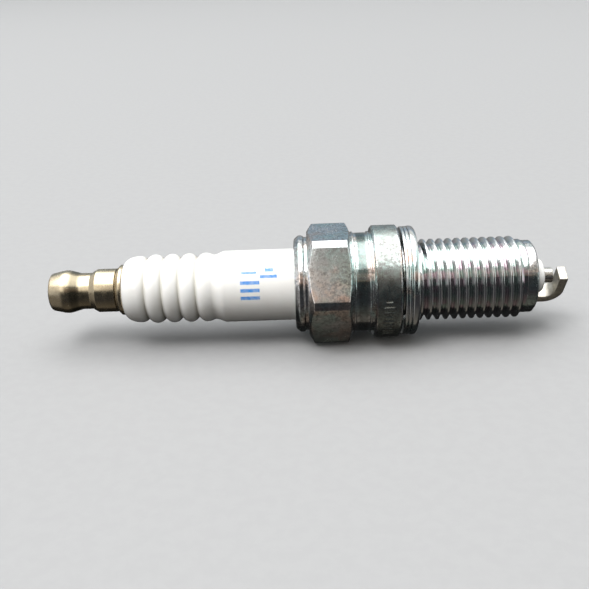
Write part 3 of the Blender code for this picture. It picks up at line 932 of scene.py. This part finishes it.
# The dim room, by the height of a direction above the horizon, from -1 to 1.
ROOM_BEHIND_CAMERA = [
    (-1.0, (0.14, 0.125, 0.105)), (-0.85, (0.085, 0.078, 0.068)), (-0.5, (0.034, 0.034, 0.038)),
    (0.38, (0.026, 0.03, 0.031)), (0.405, (0.45, 0.32, 0.23)), (0.43, (0.15, 0.13, 0.125)),
    (0.52, (0.25, 0.21, 0.2)), (0.575, (0.55, 0.43, 0.35)), (0.645, (0.35, 0.35, 0.325)),
    (1.0, (0.36, 0.36, 0.36)),
]
ROOM_BEYOND_PLUG = [
    (-1.0, (0.012, 0.012, 0.012)), (-0.6, (0.012, 0.012, 0.012)), (-0.3, (0.11, 0.112, 0.112)),
    (0.0, (0.30, 0.31, 0.31)), (0.3, (0.30, 0.37, 0.43)), (0.44, (0.33, 0.40, 0.47)),
    (0.55, (0.8, 0.83, 0.83)),
]
# Where the part of the room behind the camera gives way to the part beyond the plug, along Y.
ROOM_EDGE = (-0.13, -0.03)
# What stands in the room, each over the ones before: its colour, and the values of a direction's X, Y
# and Z between which it appears. None leaves that axis out.
TABLE_AT_LEFT = ((0.26, 0.25, 0.24), (-0.42, -0.6), (0.0, -0.25), (0.02, -0.05))
WINDOW = ((1.7, 1.66, 1.58), (-0.06, -0.32), (0.0, -0.25), (0.3, 0.46))
LEFT_WALL = ((0.8, 0.8, 0.8), (-0.45, -0.8), None, (-0.03, 0.05))
RIGHT_WALL = ((1.1, 1.12, 1.1), (0.45, 0.8), None, (-0.03, 0.05))


def make_room():
    """World light: dim grey behind the camera, dark blue beyond the plug, a
    dark table below, and pale side walls that edge the metal with light."""
    world = bpy.data.worlds.new("dim_room")
    world.use_nodes = True
    room = Nodes(world.node_tree)
    coords = room.add("ShaderNodeTexCoord")
    split = room.add("ShaderNodeSeparateXYZ")
    room.wire(coords.outputs["Generated"], split.inputs[0])
    x, y, z = split.outputs
    height_share = room.math("MULTIPLY_ADD", z, 0.5, 0.5)

    def by_height(stops):
        node = room.add("ShaderNodeValToRGB")
        elements = node.color_ramp.elements
        while len(elements) < len(stops):
            elements.new(0.5)
        for element, (height, colour) in zip(elements, stops):
            element.position = (height + 1) / 2
            element.color = (*colour, 1.0)
        room.wire(height_share, node.inputs[0])
        return node.outputs[0]

    beyond = room.ramp(y, *ROOM_EDGE)
    picture = room.mix(beyond, by_height(ROOM_BEHIND_CAMERA), by_height(ROOM_BEYOND_PLUG))
    for colour, *edges in (TABLE_AT_LEFT, WINDOW, LEFT_WALL, RIGHT_WALL):
        share = 1.0
        for axis, edge in zip((x, y, z), edges):
            if edge:
                share = room.times(room.ramp(axis, *edge), share)
        picture = room.mix(share, picture, colour)
    room.wire(picture, room.tree.nodes["Background"].inputs["Color"])
    bpy.context.scene.world = world


def make_lights():
    """Broad soft light from above and from the front left, and the dim room.
    What bright metal shows is a panel of its own, brighter than the box
    above that lights the matte surfaces."""
    make_light("overhead_box", (-0.35, 0.15, 3.0), (4.6, 3.9), 2.0, glossy=False, diffuse=True)
    make_light("overhead_panel", (-0.35, 0.12, 3.0), (4.6, 3.97), 2.8, glossy=True, diffuse=False)
    make_light("front_box", (-1.0, -0.85, 2.6), (1.4, 1.4), 8.8, glossy=False, diffuse=True)
    make_room()


# Distances in metres: from the camera to the plug's axis, and along it from the seat.
CAMERA_DISTANCE = 0.1147
CAMERA_ALONG = -0.0133
CAMERA_ELEVATION = math.radians(22.5)
CAMERA_YAW = math.radians(-0.90)
CAMERA_PITCH = math.radians(-0.78)
CAMERA_ROLL = math.radians(-1.98)
CAMERA_LENS = 47.86


def make_camera():
    """The camera faces the plug's side, looking down at it, a little rolled."""
    depth = Vector((0, math.cos(CAMERA_ELEVATION), -math.sin(CAMERA_ELEVATION)))
    rise = Vector((0, math.sin(CAMERA_ELEVATION), math.cos(CAMERA_ELEVATION)))
    side = Vector((1, 0, 0))
    forward = (side * math.sin(CAMERA_YAW) * math.cos(CAMERA_PITCH)
               + depth * math.cos(CAMERA_YAW) * math.cos(CAMERA_PITCH)
               + rise * math.sin(CAMERA_PITCH))
    right = side * math.cos(CAMERA_YAW) - depth * math.sin(CAMERA_YAW)
    up = right.cross(forward)
    rolled_right = right * math.cos(CAMERA_ROLL) + up * math.sin(CAMERA_ROLL)
    rolled_up = up * math.cos(CAMERA_ROLL) - right * math.sin(CAMERA_ROLL)
    place = Vector((SEAT_X + CAMERA_ALONG, 0, AXIS_Z)) - depth * CAMERA_DISTANCE
    data = bpy.data.cameras.new("camera")
    data.lens = CAMERA_LENS
    data.sensor_width = 36.0
    data.clip_start = 0.005
    camera = bpy.data.objects.new("camera", data)
    bpy.context.collection.objects.link(camera)
    turn = Matrix((rolled_right, rolled_up, -forward)).transposed()
    camera.matrix_world = Matrix.Translation(place) @ turn.to_4x4()
    bpy.context.scene.camera = camera


# -------------------------------------------------------------------- main

bpy.context.scene.view_settings.view_transform = "Standard"
make_camera()
make_floor()
make_lights()

bronze = bronze_nickel("bronze_nickel")
make_nut(bronze)
make_stud(bronze)
make_insulator(glazed_ceramic("white_glaze"))
make_shell(plated_steel("bright_plating"), thread_steel("thread_plating"))
make_gasket(plated_steel("gasket_plating", grain=0.2))
make_centre_electrode(nickel_alloy("centre_alloy", ROD_NICKEL, 0.2))
make_ground_electrode(nickel_alloy("strap_alloy", STRAP_NICKEL, 0.34))
dress_inner_nodes()
